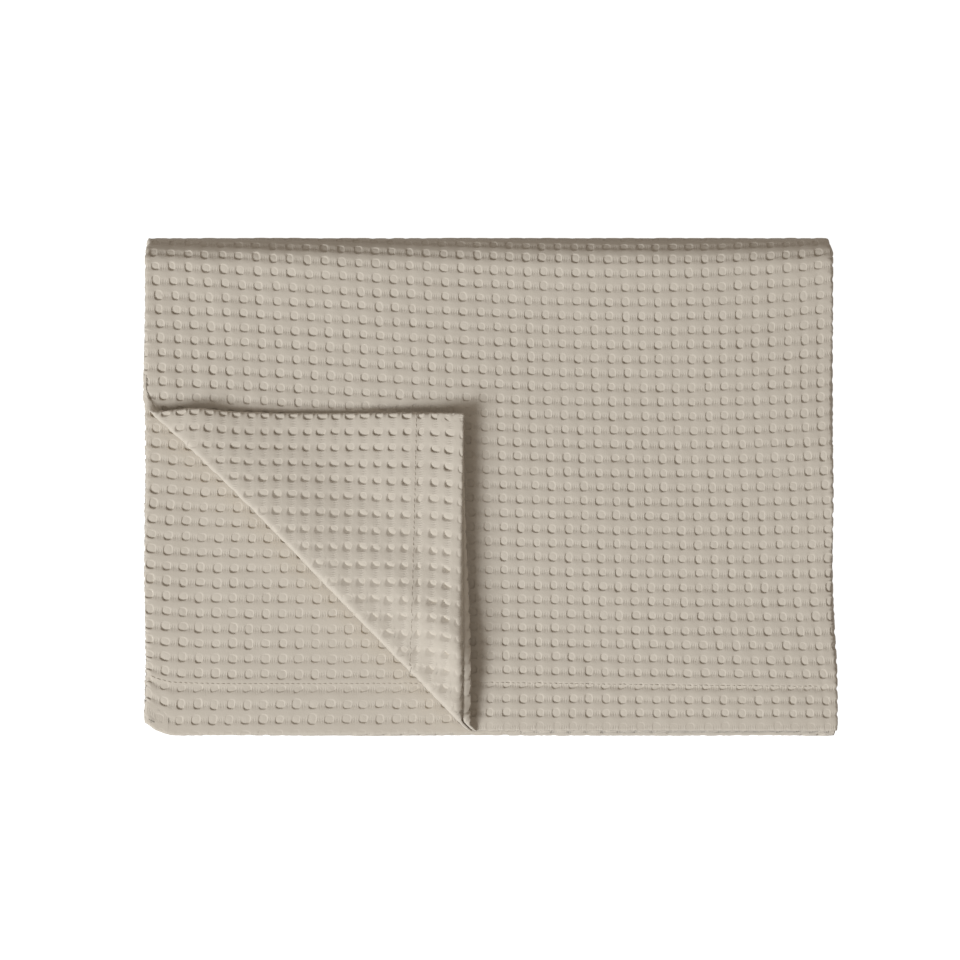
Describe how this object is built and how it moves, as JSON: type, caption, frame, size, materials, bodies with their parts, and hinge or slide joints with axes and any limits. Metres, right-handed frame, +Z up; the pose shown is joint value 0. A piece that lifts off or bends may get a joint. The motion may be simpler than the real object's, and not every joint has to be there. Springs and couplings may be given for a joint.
{
  "type": "waffle weave cotton blanket, folded with one corner turned back",
  "caption": "Folded waffle weave cotton blanket: a flat pile of layers with a rolled fold at the back and the front left corner of its upper layers turned back.",
  "frame": {"origin": "centre of the pile's bounding box on the surface it rests on", "axes": "+X along the long side of the folded pile, +Y towards the rolled fold at the back, +Z up"},
  "size_m": [0.4526, 0.3246, 0.0542],
  "materials": {
    "cotton": "matte undyed waffle weave with raised bands and small sunken pits"
  },
  "bodies": {
    "root": {"blanket": "cotton"}
  },
  "joints": []
}
